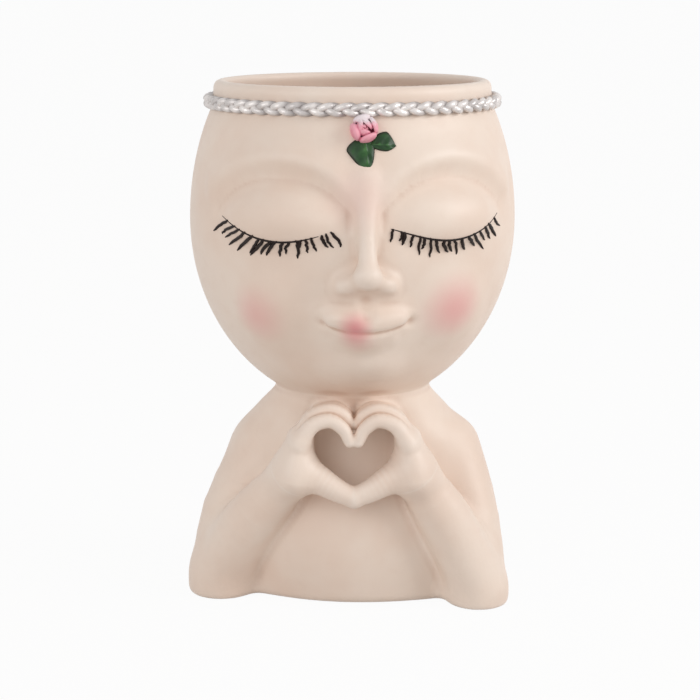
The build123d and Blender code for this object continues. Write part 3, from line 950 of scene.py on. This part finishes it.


# %% [markdown]
# ## Silver paint
# The silver is brushed on thinly and worn through to the cream here and there. Where a strand passes
# under the others it is painted darker grey as shade in the gaps, so the tops of the strands stay
# bright. It is paint, so it is only partly metallic.

# %% Circlet
def silver_paint():
    material, r, shader, cloud = painted("silver_paint", 0.5, (0.008, 0.0007), (0.3, 0.18), (0.35, 0.0004))
    tone = r.mix(r.band(cloud["Cloud"], 0.35, 0.65), colour(198, 192, 190), colour(234, 228, 225))
    worn = r.band(cloud["Speckle"], 0.56, 0.72)
    tone = r.over(tone, worn, 0.35, colour(222, 208, 198))
    # Painted shade: darker grey where a strand passes under the others.
    tone = r.over(tone, hollow_and_edge_masks(r, -0.6, 0.6)["Hollow"], 0.6, colour(124, 118, 118))
    r.put(shader.inputs["Base Color"], tone)
    r.put(shader.inputs["Metallic"], r.sum("MULTIPLY_ADD", worn, -0.25, 0.35))
    return material


plait_half = seat_half + 1.9
circlet_piece = run_tree("circlet_plait", plait, {
    "Half width": plait_half * MM,
    "Half depth": plait_half * squash * MM,
    "Height": (seat_z + seat_height / 2) * MM,
    "Material": silver_paint(),
})
move_to_planter(circlet_piece.data)

# %% [markdown]
# ## Lashes
# Each closed lid has a fan of dark enamel strokes, drawn with a fine brush from the lid's edge. The paths
# are worked out on the face, one short curve a stroke, with its thickness in the curve's radius. The tree
# sweeps every stroke in one go and leaves them tapered. The draws of length and lean use a fixed seed.

# %% Lash paths
lid_edge = ((9.0, 155.4), (19.75, 152.4), (30.5, 150.5), (41.25, 151.9), (52.0, 157.8))
lid_xs, lid_zs = zip(*lid_edge)
lid_curve = np.polynomial.polynomial.Polynomial.fit(np.linspace(0, 1, len(lid_xs)), lid_zs, 4)
edge_steps = 26
lash_count, last_lash = 18, 0.96
lash_falls, lash_thicknesses = (4.4, 7.4), (0.52, 0.76)
lash_profile = (0.5, 0.9, 1.0, 1.0, 0.95, 0.9, 0.75, 0.35)


def along_edge(t):
    """A point of the lid's edge, 0 at the nose and 1 at the temple."""
    return lid_xs[0] + t * (lid_xs[-1] - lid_xs[0]), float(lid_curve(t))


def lash_lean(side, x):
    """How far a stroke leans sideways for each millimetre that it falls, by the brush on each eye."""
    if side < 0:
        return min(0.75, max(-0.95, 0.05 * (x + 25)))
    return max(-0.2, 0.03 * (x - 21))


def lash_strokes(side, seed, first_lash, edge_from):
    """Points and radii in mm of one eye's strokes, and of the line along its lid."""
    draw = random.Random(seed)
    strokes = []
    for i in range(lash_count):
        t = first_lash + (last_lash - first_lash) * (i + draw.uniform(-0.3, 0.3)) / (lash_count - 1)
        x, z = along_edge(t)
        x *= side
        lean = lash_lean(side, x) + draw.uniform(-0.18, 0.18)
        fall = draw.uniform(*lash_falls) * (1 - 0.4 * abs(2 * t - 1) ** 3)
        bend = draw.uniform(-0.8, 0.8)
        points = []
        for u in np.linspace(-0.06, 1, len(lash_profile)):
            sway = bend * math.sin(math.pi * u) + 0.25 * draw.uniform(-1, 1)
            points.append(on_head(x + lean * fall * u + sway, z - fall * u, 0.08))
        thick = draw.uniform(*lash_thicknesses)
        strokes.append((points, [thick * share for share in lash_profile]))
    line = [on_head(side * x, z) for x, z in map(along_edge, np.linspace(edge_from, 1, edge_steps))]
    line_radii = [0.14 + 0.34 * math.sin(math.pi * k / (edge_steps - 1)) for k in range(edge_steps)]
    return [*strokes, (line, line_radii)]


print("lid's edge ends at", along_edge(1.0))


# %% Lash strokes
def stroke_tree():
    tree, r, given, out = new_group(
        "Brush strokes",
        "GeometryNodeTree",
        (("Geometry", "Geometry", None), ("Sides", "Int", 8), ("Material", "Material", None)),
        (("Geometry", "Geometry"),),
    )
    profile = r.add("GeometryNodeCurvePrimitiveCircle", {"Resolution": given["Sides"], "Radius": 1.0})
    sweep = r.add("GeometryNodeCurveToMesh", {
        "Curve": given["Geometry"],
        "Profile Curve": profile.outputs["Curve"],
        "Scale": r.add("GeometryNodeInputRadius").outputs[0],
        "Fill Caps": True,
    })
    finish_tree(r, sweep.outputs[0], given["Material"], out)
    return tree


def brush_curve(name, strokes):
    """A curve object with one spline for each stroke, given as points and radii in mm."""
    curve = bpy.data.curves.new(name, "CURVE")
    curve.dimensions = "3D"
    for points, radii in strokes:
        spline = curve.splines.new("POLY")
        spline.points.add(len(points) - 1)
        for spot, point, radius in zip(spline.points, points, radii):
            spot.co = (*(np.asarray(point) * MM), 1)
            spot.radius = radius * MM
    return bpy.data.objects.new(name, curve)


def lash_enamel():
    material, r, shader, cloud = painted("lash_enamel", 0.2, (0.006,), (0.25, 0.4))
    r.put(shader.inputs["Base Color"], r.mix(cloud["Cloud"], colour(18, 9, 7), colour(36, 21, 17)))
    return material


enamel, brush = lash_enamel(), stroke_tree()
lash_pieces = {}
for word, side, seed, first_lash, edge_from in (("right", -1, 5, 0.09, 0.2), ("left", 1, 11, 0.02, 0.0)):
    strokes = brush_curve(word + "_lash_paths", lash_strokes(side, seed, first_lash, edge_from))
    lash_pieces[word] = run_tree(word + "_lash_strokes", brush, {"Material": enamel}, strokes)

# %% [markdown]
# ## The rose
# The rose is a pinch of clay too: a closed bud in two rings of cupped petals. A petal is the part of a
# thin ball shell that lies inside a smaller ball, which gives it a cupped body and a round lip. The
# petals differ in size and lean, because each was pressed by hand. Painted shade darkens the pink
# between them, and painted highlight lightens their lips.

# %% Rose forms
rose_place = (-0.4, 191.2)
outer_petals = ((200, 4.3, 1.5, 3.5), (292, 4.5, 1.2, 3.6), (20, 4.4, 1.7, 3.4), (105, 4.2, 1.6, 3.3))
inner_petals = ((165, 2.5, 3.0, 2.5), (262, 2.7, 2.7, 2.7), (45, 2.6, 3.2, 2.6))
rose_foot = ((0, 0, 0), (4.0, 4.0, 2.0))
bud_middle, bud_radii = np.array((-0.3, -0.1, 2.4)), (1.75, 1.7, 2.5)
coil_pitch, coil_half, coil_floor = 0.28, 0.18, 4.0


def lying_axes(x, z):
    """Axes of something that lies on the skin: along the face, outwards, and up."""
    out = skin_at(x, z, 1.0) - skin_at(x, z)
    along = np.array((1.0, -out[0] / out[1], 0.0))
    along /= np.linalg.norm(along)
    up = np.cross(out, along)
    return np.array((along, out, up if up[2] > 0 else -up))


rose_axes = lying_axes(*rose_place)


def to_rose(p):
    """Points in the rose's own frame, which opens along its third axis."""
    along, out, up = rose_axes
    q = to_head(p) - skin_at(*rose_place)
    return np.stack((q @ along, q @ up, q @ out), -1)


def petal_ring(s, petals, cup_radius, cup_height, thick):
    cup = np.abs(length(s - (0, 0, cup_height)) - cup_radius) - thick / 2
    ring = []
    for angle, reach, height, size in petals:
        turn = math.radians(angle)
        outline = length(s - (reach * math.cos(turn), reach * math.sin(turn), height)) - size
        ring.append(soft_meet(cup + 0.06 * s[:, 2] * math.sin(3 * turn), outline, 0.6))
    return np.minimum.reduce(ring)


def rose_petals_field(p):
    s = to_rose(p)
    out = soft_join(petal_ring(s, outer_petals, 4.5, 1.5, 1.5), ball(s, *rose_foot), 0.5)
    return soft_join(out, petal_ring(s, inner_petals, 2.7, 2.5, 1.25), 0.3)


def rose_bud_field(p):
    s = to_rose(p)
    flat = s[:, :2] - bud_middle[:2]
    turn = np.arctan2(flat[:, 1], flat[:, 0])
    coil = length(flat) - coil_pitch * (turn + math.pi)
    groove = np.maximum(np.abs(coil) - coil_half, coil_floor - s[:, 2])
    return soft_cut(ball(s, bud_middle, bud_radii), groove, 0.4)


print("rose opens towards", rose_axes[1].round(2))

# %% Rose
dust_from, dust_full = 0.1948, 0.1972


def rose_pink():
    material, r, shader, cloud = painted("rose_pink", 0.4, (0.004, 0.0005), (0.2, 0.34), (0.15, 0.0002))
    crease_masks = hollow_and_edge_masks(r, 0.05, 0.9)
    tone = r.mix(r.band(cloud["Cloud"], 0.35, 0.65), colour(204, 108, 132), colour(222, 134, 154))
    # Painted shade: deeper pink in the hollows between the petals.
    tone = r.over(tone, crease_masks["Hollow"], 0.8, colour(146, 58, 84))
    # Painted highlight: pale pink on the petals' raised lips.
    tone = r.over(tone, crease_masks["Edge"], 0.7, colour(244, 178, 190))
    place = r.add("ShaderNodeSeparateXYZ", {0: r.add("ShaderNodeTexCoord").outputs["Object"]}).outputs["Z"]
    dusted = r.band(r.sum("MULTIPLY_ADD", cloud["Speckle"], 0.004, place), dust_from, dust_full)
    tone = r.over(tone, dusted, 0.85, colour(232, 228, 230))
    r.put(shader.inputs["Base Color"], tone)
    return material


pink = rose_pink()
rose_middle = from_head(skin_at(*rose_place, 2.5))[0]
petals_piece = clay_piece("rose_petal_cups", rose_petals_field, rose_middle - 9, rose_middle + 9, 0.24)
bud_piece = clay_piece("rose_bud_roll", rose_bud_field, rose_middle - 5, rose_middle + 5, 0.16)
for piece in (petals_piece, bud_piece):
    piece.data.materials.append(pink)

# %% [markdown]
# ## Leaves
# The two leaves lie on the forehead under the rose, dark glossy green with a raised midrib. Each is a
# grid along its midrib, domed towards the middle and laid on the skin, so it never lifts off the head. A
# closed sheet has the grid twice, once for its face and once for its back, and a rim between them. How
# near the edge or the rib a point lies is noted as for the clay, so the same mask group darkens the edge
# and lays a painted highlight on the rib and veins.

# %% Leaf forms
leaf_rows, leaf_columns, leaf_root_depth = 34, 21, -0.3


def sheet_mesh(outer, inner):
    """Points and faces of a closed sheet, from the grids of its face and its back."""
    rows, columns = outer.shape[:2]
    half = rows * columns
    faces = []
    for i in range(rows - 1):
        for j in range(columns - 1):
            a = i * columns + j
            b, c, d = a + 1, a + columns + 1, a + columns
            faces += [(a, b, c, d), (half + d, half + c, half + b, half + a)]
    edge = [(0, j) for j in range(columns)] + [(i, columns - 1) for i in range(1, rows)]
    edge += [(rows - 1, j) for j in range(columns - 2, -1, -1)] + [(i, 0) for i in range(rows - 2, 0, -1)]
    ring = [i * columns + j for i, j in edge]
    for a, b in zip(ring, ring[1:] + ring[:1]):
        faces.append((b, a, half + a, half + b))
    return np.concatenate((outer.reshape(-1, 3), inner.reshape(-1, 3))), faces


def leaf_spot(u, v, taper, fullest):
    """A leaf's share of its width, its height over the skin and its hollow, along u and across v."""
    near, far = u / fullest, (u - fullest) / (1 - fullest)
    swell = max(0.03, math.sin(math.pi / 2 * near) ** 0.6 if near < 1 else 1 - far ** taper)
    rib = math.exp(-(v / 0.13) ** 2) * (1 - 0.6 * u)
    vein = math.cos(9 * (u * 2.2 - abs(v) * 0.6)) * (1 - abs(v))
    dome = 0.95 * (1 - v * v) ** 0.5 * math.sin(math.pi * (0.12 + 0.8 * u))
    edge = max(abs(v) ** 4, (2 * abs(u - 0.5)) ** 9)
    return swell, 0.25 + dome + 0.35 * rib + 0.12 * vein, 0.9 * edge - 0.5 * rib - 0.25 * max(0, vein)


def leaf_piece(name, root, tip, halves, tapers, fullest, material):
    """A leaf between two places on the skin, with a width and a taper on either side of the midrib."""
    root, tip = np.asarray(root, float), np.asarray(tip, float)
    along = tip - root
    across = np.array((-along[1], along[0])) / np.linalg.norm(along)
    outer, inner = np.empty((2, leaf_rows, leaf_columns, 3))
    hollows = np.empty((leaf_rows, leaf_columns))
    for i, u in enumerate(np.linspace(0, 1, leaf_rows)):
        for j, v in enumerate(np.linspace(-1, 1, leaf_columns)):
            side = 0 if v < 0 else 1
            swell, height, hollows[i, j] = leaf_spot(u, v, tapers[side], fullest)
            x, z = root + along * u + across * v * swell * halves[side]
            outer[i, j] = from_head(skin_at(x, z, height))[0]
            inner[i, j] = from_head(skin_at(x, z, leaf_root_depth))[0]
    points, faces = sheet_mesh(outer, inner)
    mesh = bpy.data.meshes.new(name)
    mesh.from_pydata((points * MM).tolist(), [], faces)
    tidy = bmesh.new()
    tidy.from_mesh(mesh)
    bmesh.ops.recalc_face_normals(tidy, faces=tidy.faces)
    tidy.to_mesh(mesh)
    tidy.free()
    note_hollows(mesh, np.tile(hollows.ravel(), 2))
    mesh.materials.append(material)
    return stand(name, mesh)


# %% Leaves
def leaf_green():
    material, r, shader, cloud = painted("leaf_green", 0.35, (0.006, 0.0006), (0.25, 0.24), (0.2, 0.0002))
    crease_masks = hollow_and_edge_masks(r, 0.1, 0.75)
    tone = r.mix(r.band(cloud["Cloud"], 0.38, 0.66), colour(22, 56, 24), colour(38, 84, 34))
    # Painted highlight: a lighter green along the rib and veins.
    tone = r.over(tone, crease_masks["Edge"], 0.6, colour(84, 136, 74))
    tone = r.over(tone, crease_masks["Hollow"], 0.9, colour(26, 26, 12))
    r.put(shader.inputs["Base Color"], tone)
    return material


green = leaf_green()
lower_leaf = leaf_piece("lower_leaf_blade", (-0.4, 188.8), (0.9, 174.6), (7.0, 3.2), (1.15, 1.7), 0.32, green)
upper_leaf = leaf_piece("upper_leaf_blade", (1.6, 185.8), (11.2, 185.2), (2.0, 5.0), (2.0, 1.6), 0.6, green)

# %% [markdown]
# ## The drain plug
# The stopper under the base is moulded rubber. Its CAD shape is right as it is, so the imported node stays
# and only gets a finish: dark, dull and slightly dusty.

# %% Plug finish
def plug_rubber():
    material, r, shader, cloud = painted("plug_rubber", 0.3, (0.008, 0.0007), (0.2, 0.6), (0.2, 0.0002))
    r.put(shader.inputs["Base Color"], r.mix(cloud["Cloud"], colour(58, 56, 54), colour(92, 88, 84)))
    return material


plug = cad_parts["drain_plug"]
plug.data.materials.clear()
plug.data.materials.append(plug_rubber())
print("plug:", in_mm(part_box("drain_plug")[0]), "mm")

# %% [markdown]
# ## Floor, light and camera
# The planter stands on a plain white floor in soft light from the upper right. To the camera, floor and
# background are nearly white by themselves, and the floor keeps a faint shadow. The camera stands where
# the photograph was taken from: a long lens, a little above the rim.

# %% Floor and background
floor_half, floor_glow = 30, 0.95
world_light, world_seen = 0.55, 0.45
white = (1, 1, 1, 1)


def seen_directly(recipe):
    """1 for what the camera sees, also in gloss or through glass, and 0 for what only gives light."""
    path = recipe.add("ShaderNodeLightPath").outputs
    seen = recipe.sum("MAXIMUM", path["Is Camera Ray"], path["Is Glossy Ray"])
    return recipe.sum("MAXIMUM", seen, path["Is Transmission Ray"])


def white_floor():
    grey = colour(214, 211, 208)
    material, r, shader = new_material("white_floor", Base_Color=grey, Roughness=0.9, Specular_IOR_Level=0.1)
    glow = r.add("ShaderNodeEmission", {"Color": white, "Strength": 1.0})
    share = r.sum("MULTIPLY", seen_directly(r), floor_glow)
    both = r.add("ShaderNodeMixShader", {0: share, 1: shader.outputs[0], 2: glow.outputs[0]})
    r.put(r.tree.nodes["Material Output"].inputs["Surface"], both.outputs[0])
    return material


floor_corners = [(x * floor_half, y * floor_half, 0) for x, y in ((-1, -1), (1, -1), (1, 1), (-1, 1))]
floor_mesh = bpy.data.meshes.new("floor")
floor_mesh.from_pydata(floor_corners, [], [(0, 1, 2, 3)])
floor_mesh.materials.append(white_floor())
floor = stand("floor", floor_mesh)
floor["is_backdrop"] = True

world = bpy.data.worlds.new("studio")
bpy.context.scene.world = world
world.use_nodes = True
sky = Recipe(world.node_tree)
backdrop = world.node_tree.nodes["Background"]
backdrop.inputs["Color"].default_value = white
sky.put(backdrop.inputs["Strength"], sky.sum("MULTIPLY_ADD", seen_directly(sky), world_seen, world_light))

# %% Lamps and camera
lamp_target, camera_target = (0, 0, 0.1), (0.0004, 0.0041, 0.0986)


def place_and_aim(name, data, place, target):
    thing = bpy.data.objects.new(name, data)
    thing.location = place
    thing.rotation_euler = (Vector(target) - Vector(place)).to_track_quat("-Z", "Y").to_euler()
    bpy.context.scene.collection.objects.link(thing)
    return thing


for name, place, power, size in (
    ("key", (1.0, -0.36, 0.56), 6.4, 0.6),
    ("fill", (-0.7, -0.9, 0.4), 4.4, 0.9),
):
    light = bpy.data.lights.new(name, "AREA")
    light.energy, light.size = power, size
    place_and_aim(name, light, place, lamp_target)

lens = bpy.data.cameras.new("camera")
lens.lens, lens.sensor_width = 99.5, 36.0
camera = place_and_aim("camera", lens, (0.0014, -0.7559, 0.253), camera_target)
bpy.context.scene.camera = camera
bpy.context.scene.view_settings.view_transform = "Standard"
print("camera at", [round(v, 3) for v in camera.location])

# %% [markdown]
# ## What moves with what
# Every piece says which body of the CAD it rides on, which CAD node it stands for, and which finish it
# takes. Only the plug moves, so everything else rides on the planter.

# %% Riding and replacing
for piece, node, slot in (
    (castings["head"], "head_pot", "cream_resin"),
    (castings["bust"], "bust", "cream_resin"),
    (castings["right_forearm"], "right_forearm", "cream_resin"),
    (castings["left_forearm"], "left_forearm", "cream_resin"),
    (castings["right_hand"], "right_hand", "cream_resin"),
    (castings["left_hand"], "left_hand", "cream_resin"),
    (circlet_piece, "circlet", "silver_paint"),
    (lash_pieces["right"], "right_lashes", "lash_enamel"),
    (lash_pieces["left"], "left_lashes", "lash_enamel"),
    (petals_piece, "rose_petals", "rose_pink"),
    (bud_piece, "rose_bud", "rose_pink"),
    (lower_leaf, "lower_leaf", "leaf_green"),
    (upper_leaf, "upper_leaf", "leaf_green"),
):
    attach(piece, "planter")
    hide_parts(node)

visual_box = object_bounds()
print("visual box in mm:", *map(in_mm, visual_box))
